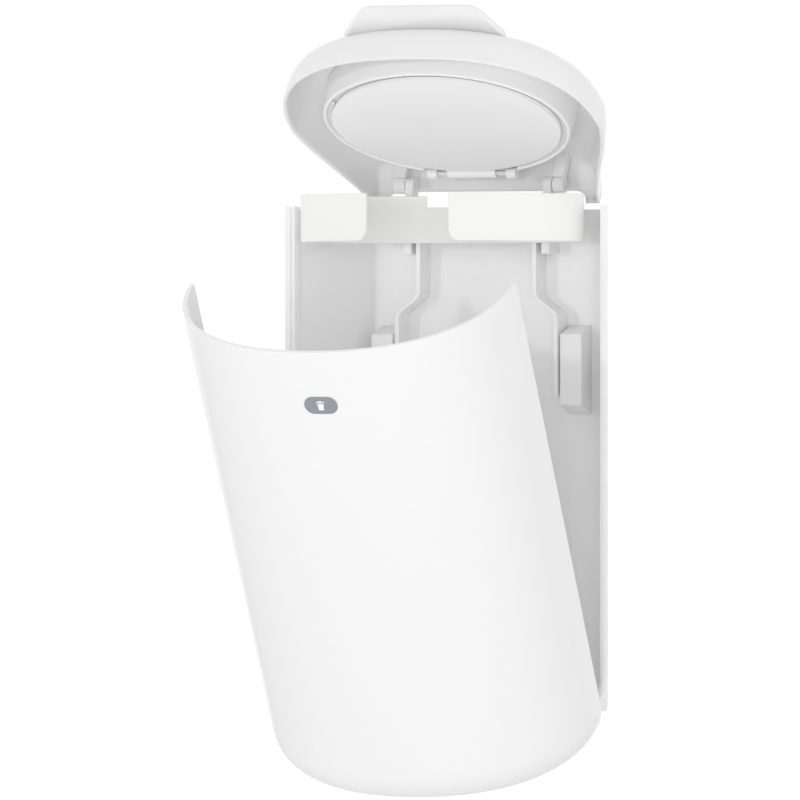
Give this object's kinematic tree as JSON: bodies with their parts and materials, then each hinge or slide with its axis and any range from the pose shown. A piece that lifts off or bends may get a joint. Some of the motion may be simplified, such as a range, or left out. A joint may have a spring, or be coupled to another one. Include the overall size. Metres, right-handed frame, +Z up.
{
  "type": "wall mounted waste bin",
  "caption": "Wall-mounted hygiene waste bin: back housing, tilting bucket-shaped front cover, C-shaped bag ring and a domed tabbed lid with an inner collar and flap.",
  "frame": {"origin": "on the wall plane, at the centre of the four wall-screw holes in the flat back", "axes": "+X to the right as seen from the front, +Y into the wall, +Z up"},
  "size_m": [0.2, 0.2923, 0.458],
  "materials": {
    "housing_white": "white injection-moulded ABS, satin gloss",
    "cover_gloss_white": "white injection-moulded ABS, high gloss outside",
    "lid_gloss_white": "white injection-moulded ABS, high gloss outside",
    "ring_white": "white moulded polypropylene, semi-gloss",
    "insert_white": "white moulded polypropylene, satin",
    "flap_white": "white moulded polypropylene, satin",
    "pin_plastic": "off-white acetal, satin",
    "badge_grey": "plain grey moulded badge"
  },
  "bodies": {
    "housing": {"back_housing": "housing_white", "catch_block_left": "housing_white", "catch_block_right": "housing_white", "hinge_arm_left": "insert_white", "hinge_arm_right": "insert_white", "lid_pin_left": "pin_plastic", "lid_pin_right": "pin_plastic", "bag_ring": "ring_white", "ring_clip_left": "insert_white", "ring_clip_right": "insert_white", "cover_pin_left": "pin_plastic", "cover_pin_right": "pin_plastic"},
    "cover": {"front_cover": "cover_gloss_white", "cover_badge": "badge_grey"},
    "lid": {"lid_shell": "lid_gloss_white", "lid_collar": "insert_white", "lid_barrel_left": "insert_white", "lid_barrel_right": "insert_white", "flap_rod": "pin_plastic", "flap_clip_left": "insert_white", "flap_clip_right": "insert_white", "flap_finger": "pin_plastic"},
    "flap": {"inner_flap": "flap_white"}
  },
  "joints": [
    {"name": "cover_tilt", "type": "hinge", "parent": "housing", "child": "cover", "pos_m": [0, -0.0555, -0.1776], "axis": [1, 0, 0], "range_deg": [-30.5, 0]},
    {"name": "lid_hinge", "type": "hinge", "parent": "housing", "child": "lid", "pos_m": [0, -0.0138, 0.135], "axis": [-1, 0, 0], "range_deg": [-32.3, 0]},
    {"name": "flap_hinge", "type": "hinge", "parent": "lid", "child": "flap", "pos_m": [0, -0.02665, 0.14218], "axis": [1, 0, 0], "range_deg": [0, 60]}
  ]
}
